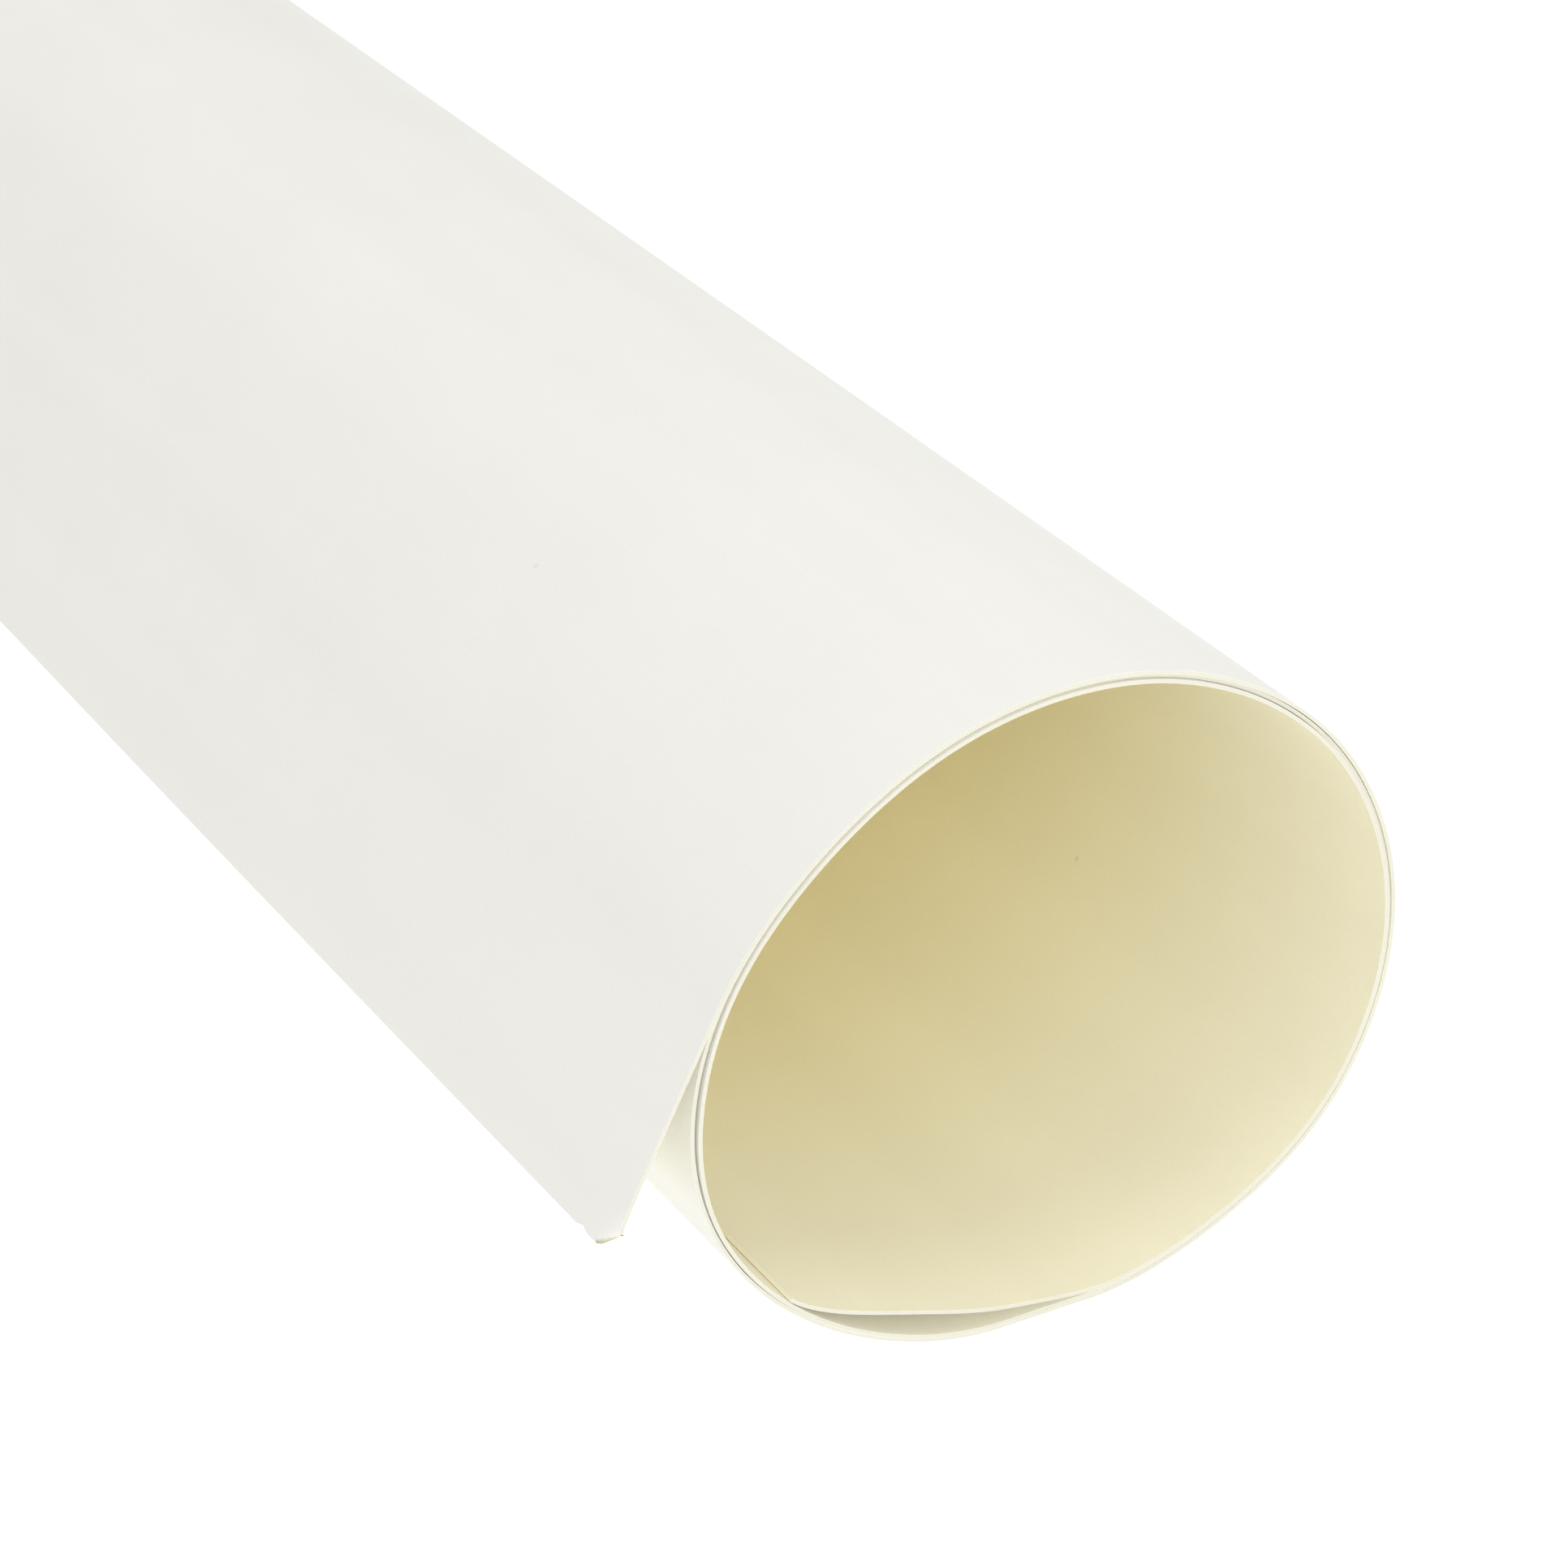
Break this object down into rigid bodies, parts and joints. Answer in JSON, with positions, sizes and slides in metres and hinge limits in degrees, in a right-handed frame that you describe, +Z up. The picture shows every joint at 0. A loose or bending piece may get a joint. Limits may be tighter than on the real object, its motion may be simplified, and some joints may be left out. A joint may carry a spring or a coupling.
{
  "type": "backdrop paper roll",
  "caption": "Coreless roll of stiff off-white backdrop sheet, wound to an oval tube, with a loose outer flap and an open hollow.",
  "frame": {"origin": "middle of the flat underside that the roll rests on", "axes": "+Y along the roll from the end with the blunted flap corner to the far end, +Z up, the flap on the -X side"},
  "size_m": [0.0914, 1, 0.072],
  "materials": {
    "paper": "smooth matte off-white"
  },
  "bodies": {
    "wound_turns": {"inner_turn_01": "paper", "inner_turn_02": "paper", "inner_turn_03": "paper", "inner_turn_04": "paper", "inner_turn_05": "paper", "inner_turn_06": "paper", "inner_turn_07": "paper", "inner_turn_08": "paper", "inner_turn_09": "paper", "inner_turn_10": "paper", "inner_turn_11": "paper", "inner_turn_12": "paper", "middle_turn_01": "paper", "middle_turn_02": "paper", "middle_turn_03": "paper", "middle_turn_04": "paper", "middle_turn_05": "paper", "middle_turn_06": "paper", "middle_turn_07": "paper", "middle_turn_08": "paper", "middle_turn_09": "paper", "middle_turn_10": "paper", "middle_turn_11": "paper", "middle_turn_12": "paper", "middle_turn_13": "paper", "middle_turn_14": "paper", "middle_turn_15": "paper", "middle_turn_16": "paper", "bed": "paper"},
    "outer_strip_01": {"outer_turn_01": "paper"},
    "outer_strip_02": {"outer_turn_02": "paper"},
    "outer_strip_03": {"outer_turn_03": "paper"},
    "outer_strip_04": {"outer_turn_04": "paper"},
    "outer_strip_05": {"outer_turn_05": "paper"},
    "outer_strip_06": {"outer_turn_06": "paper"},
    "outer_strip_07": {"outer_turn_07": "paper"},
    "outer_strip_08": {"outer_turn_08": "paper"},
    "outer_strip_09": {"outer_turn_09": "paper"},
    "outer_strip_10": {"outer_turn_10": "paper"},
    "outer_strip_11": {"outer_turn_11": "paper"},
    "outer_strip_12": {"outer_turn_12": "paper"},
    "outer_strip_13": {"outer_turn_13": "paper"},
    "outer_strip_14": {"outer_turn_14": "paper"},
    "outer_strip_15": {"outer_turn_15": "paper"},
    "outer_strip_16": {"outer_turn_16": "paper"},
    "flap_strip_01": {"flap_01": "paper"},
    "flap_strip_02": {"flap_02": "paper"},
    "inner_strip_03": {"inner_end_03": "paper"},
    "inner_strip_02": {"inner_end_02": "paper"},
    "inner_strip_01": {"inner_end_01": "paper"}
  },
  "joints": [
    {"name": "unroll", "type": "hinge", "parent": "wound_turns", "child": "outer_strip_01", "pos_m": [0.00371, 0, 0], "axis": [0, 1, 0], "range_deg": [0, 6.2], "stiffness_Nm_per_rad": 0.2},
    {"name": "unroll_02", "type": "hinge", "parent": "outer_strip_01", "child": "outer_strip_02", "pos_m": [0.01349, 0, 0.00108], "axis": [0, 1, 0], "range_deg": [0, 14.48], "stiffness_Nm_per_rad": 0.2},
    {"name": "unroll_03", "type": "hinge", "parent": "outer_strip_02", "child": "outer_strip_03", "pos_m": [0.02294, 0, 0.00472], "axis": [0, 1, 0], "range_deg": [0, 12.45], "stiffness_Nm_per_rad": 0.2},
    {"name": "unroll_04", "type": "hinge", "parent": "outer_strip_03", "child": "outer_strip_04", "pos_m": [0.03175, 0, 0.01061], "axis": [0, 1, 0], "range_deg": [0, 18.22], "stiffness_Nm_per_rad": 0.2},
    {"name": "unroll_05", "type": "hinge", "parent": "outer_strip_04", "child": "outer_strip_05", "pos_m": [0.03843, 0, 0.01928], "axis": [0, 1, 0], "range_deg": [0, 18.91], "stiffness_Nm_per_rad": 0.2},
    {"name": "unroll_06", "type": "hinge", "parent": "outer_strip_05", "child": "outer_strip_06", "pos_m": [0.04193, 0, 0.02983], "axis": [0, 1, 0], "range_deg": [0, 18.45], "stiffness_Nm_per_rad": 0.2},
    {"name": "unroll_07", "type": "hinge", "parent": "outer_strip_06", "child": "outer_strip_07", "pos_m": [0.04185, 0, 0.04099], "axis": [0, 1, 0], "range_deg": [0, 17.94], "stiffness_Nm_per_rad": 0.2},
    {"name": "unroll_08", "type": "hinge", "parent": "outer_strip_07", "child": "outer_strip_08", "pos_m": [0.03829, 0, 0.05148], "axis": [0, 1, 0], "range_deg": [0, 16.95], "stiffness_Nm_per_rad": 0.2},
    {"name": "unroll_09", "type": "hinge", "parent": "outer_strip_08", "child": "outer_strip_09", "pos_m": [0.03189, 0, 0.06029], "axis": [0, 1, 0], "range_deg": [0, 16.49], "stiffness_Nm_per_rad": 0.2},
    {"name": "unroll_10", "type": "hinge", "parent": "outer_strip_09", "child": "outer_strip_10", "pos_m": [0.02343, 0, 0.06671], "axis": [0, 1, 0], "range_deg": [0, 14.52], "stiffness_Nm_per_rad": 0.2},
    {"name": "unroll_11", "type": "hinge", "parent": "outer_strip_10", "child": "outer_strip_11", "pos_m": [0.01388, 0, 0.07065], "axis": [0, 1, 0], "range_deg": [0, 14.23], "stiffness_Nm_per_rad": 0.2},
    {"name": "unroll_12", "type": "hinge", "parent": "outer_strip_11", "child": "outer_strip_12", "pos_m": [0.00389, 0, 0.07203], "axis": [0, 1, 0], "range_deg": [0, 13.61], "stiffness_Nm_per_rad": 0.2},
    {"name": "unroll_13", "type": "hinge", "parent": "outer_strip_12", "child": "outer_strip_13", "pos_m": [-0.00597, 0, 0.071], "axis": [0, 1, 0], "range_deg": [0, 13.15], "stiffness_Nm_per_rad": 0.2},
    {"name": "unroll_14", "type": "hinge", "parent": "outer_strip_13", "child": "outer_strip_14", "pos_m": [-0.01526, 0, 0.06773], "axis": [0, 1, 0], "range_deg": [0, 12.49], "stiffness_Nm_per_rad": 0.2},
    {"name": "unroll_15", "type": "hinge", "parent": "outer_strip_14", "child": "outer_strip_15", "pos_m": [-0.02366, 0, 0.06246], "axis": [0, 1, 0], "range_deg": [0, 10.69], "stiffness_Nm_per_rad": 0.2},
    {"name": "unroll_16", "type": "hinge", "parent": "outer_strip_15", "child": "outer_strip_16", "pos_m": [-0.03115, 0, 0.05547], "axis": [0, 1, 0], "range_deg": [0, 12.83], "stiffness_Nm_per_rad": 0.2},
    {"name": "flap_flex", "type": "hinge", "parent": "outer_strip_16", "child": "flap_strip_01", "pos_m": [-0.03716, 0, 0.04653], "axis": [0, -1, 0], "range_deg": [-25, 6], "stiffness_Nm_per_rad": 0.2},
    {"name": "flap_flex_02", "type": "hinge", "parent": "flap_strip_01", "child": "flap_strip_02", "pos_m": [-0.04306, 0, 0.03523], "axis": [0, -1, 0], "range_deg": [-25, 6], "stiffness_Nm_per_rad": 0.2},
    {"name": "inner_end_flex", "type": "hinge", "parent": "wound_turns", "child": "inner_strip_03", "pos_m": [0.00963, 0, 0.00192], "axis": [0, 1, 0], "range_deg": [0, 14], "stiffness_Nm_per_rad": 0.2},
    {"name": "inner_end_flex_02", "type": "hinge", "parent": "inner_strip_03", "child": "inner_strip_02", "pos_m": [-0.00333, 0, 0.00288], "axis": [0, 1, 0], "range_deg": [0, 14], "stiffness_Nm_per_rad": 0.2},
    {"name": "inner_end_flex_03", "type": "hinge", "parent": "inner_strip_02", "child": "inner_strip_01", "pos_m": [-0.01564, 0, 0.0063], "axis": [0, 1, 0], "range_deg": [0, 14], "stiffness_Nm_per_rad": 0.2}
  ],
  "couplings": [
    {"joint": "unroll_02", "follows": "unroll", "ratio": 2.3345},
    {"joint": "unroll_03", "follows": "unroll", "ratio": 2.0077},
    {"joint": "unroll_04", "follows": "unroll", "ratio": 2.9383},
    {"joint": "unroll_05", "follows": "unroll", "ratio": 3.0496},
    {"joint": "unroll_06", "follows": "unroll", "ratio": 2.9754},
    {"joint": "unroll_07", "follows": "unroll", "ratio": 2.8931},
    {"joint": "unroll_08", "follows": "unroll", "ratio": 2.7329},
    {"joint": "unroll_09", "follows": "unroll", "ratio": 2.6591},
    {"joint": "unroll_10", "follows": "unroll", "ratio": 2.3407},
    {"joint": "unroll_11", "follows": "unroll", "ratio": 2.2945},
    {"joint": "unroll_12", "follows": "unroll", "ratio": 2.1946},
    {"joint": "unroll_13", "follows": "unroll", "ratio": 2.1196},
    {"joint": "unroll_14", "follows": "unroll", "ratio": 2.0134},
    {"joint": "unroll_15", "follows": "unroll", "ratio": 1.7236},
    {"joint": "unroll_16", "follows": "unroll", "ratio": 2.0681},
    {"joint": "flap_flex_02", "follows": "flap_flex", "ratio": 1},
    {"joint": "inner_end_flex_02", "follows": "inner_end_flex", "ratio": 1},
    {"joint": "inner_end_flex_03", "follows": "inner_end_flex", "ratio": 1}
  ]
}
